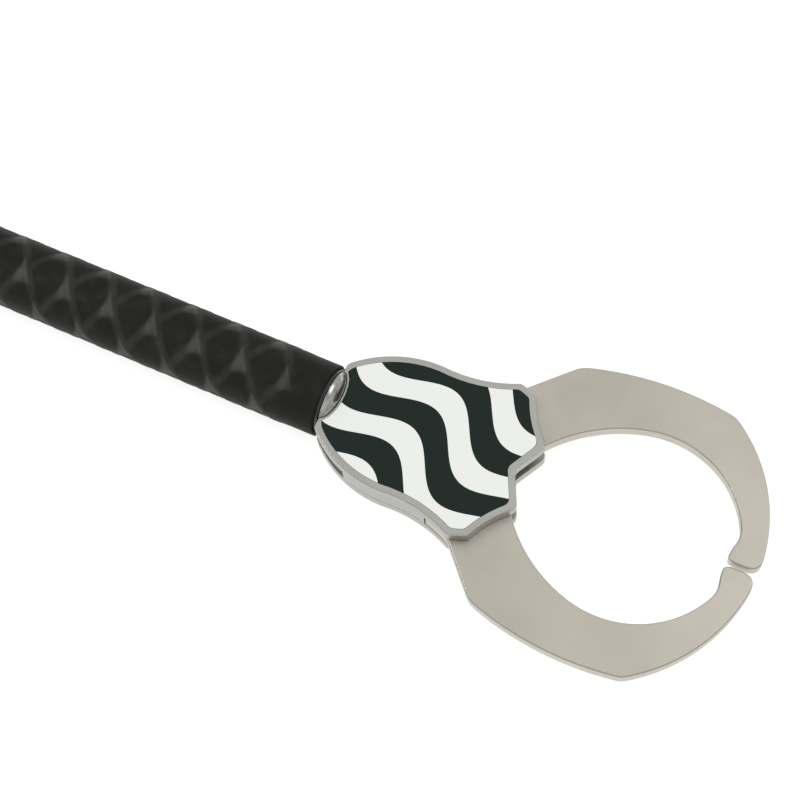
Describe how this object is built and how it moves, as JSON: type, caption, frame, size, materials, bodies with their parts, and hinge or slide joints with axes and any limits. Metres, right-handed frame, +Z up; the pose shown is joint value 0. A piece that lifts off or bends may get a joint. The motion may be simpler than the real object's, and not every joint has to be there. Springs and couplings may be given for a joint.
{
  "type": "tuna landing clamp",
  "caption": "Long handled landing clamp whose toothed jaws close into a ring round a fish's tail under a rod spring.",
  "frame": {"origin": "centre of the butt cap's end face, on the handle's axis", "axes": "+X along the handle from the butt to the jaws, +Y towards the left jaw, +Z up, square to the head plates, on the side of the inlay panel"},
  "size_m": [0.6811, 0.1322, 0.035],
  "materials": {
    "tube": "gloss black anodised",
    "grip": "semi-matt shrink rubber",
    "cap": "matt moulded rubber",
    "plug": "turned",
    "plate": "satin",
    "panel": "black and white printed panel",
    "jaw": "satin",
    "bush": "turned bronze",
    "rod": "drawn",
    "spring": "spring wire",
    "fastener": "plain"
  },
  "bodies": {
    "handle": {"handle_tube": "tube", "grip_sleeve": "grip", "butt_cap": "cap", "fork_plug": "plug", "left_plug_pin": "fastener", "right_plug_pin": "fastener", "head_housing": "plate", "head_cover": "plate", "inlay_panel": "panel", "left_pivot_bolt": "fastener", "right_pivot_bolt": "fastener", "closing_spring": "spring", "fork_screw_left_rear": "fastener", "fork_screw_left_front": "fastener", "fork_screw_right_rear": "fastener", "fork_screw_right_front": "fastener", "wall_screw_left_rear": "fastener", "wall_screw_left_front": "fastener", "wall_screw_right_rear": "fastener", "wall_screw_right_front": "fastener"},
    "left_jaw": {"left_jaw": "jaw", "left_pivot_bush": "bush"},
    "right_jaw": {"right_jaw": "jaw", "right_pivot_bush": "bush"},
    "plunger": {"rack_plunger": "jaw", "nose_pad": "cap", "pull_rod": "rod", "rod_pin": "fastener", "spring_washer": "rod", "rod_nut": "fastener", "lock_nut": "fastener"}
  },
  "joints": [
    {"name": "left_jaw_hinge", "type": "hinge", "parent": "handle", "child": "left_jaw", "pos_m": [0.5511, 0.026, 0], "axis": [0, 0, 1], "range_deg": [0, 30], "stiffness_Nm_per_rad": 1, "springref_deg": -20.05},
    {"name": "right_jaw_hinge", "type": "hinge", "parent": "handle", "child": "right_jaw", "pos_m": [0.5511, -0.026, 0], "axis": [0, 0, 1], "range_deg": [-30, 0]},
    {"name": "plunger_slide", "type": "slide", "parent": "handle", "child": "plunger", "axis": [1, 0, 0], "range_m": [0, 0.0095], "deforming": ["closing_spring"]}
  ],
  "couplings": [
    {"joint": "right_jaw_hinge", "follows": "left_jaw_hinge", "ratio": -1},
    {"joint": "plunger_slide", "follows": "left_jaw_hinge", "m_per_rad": 0.018}
  ]
}
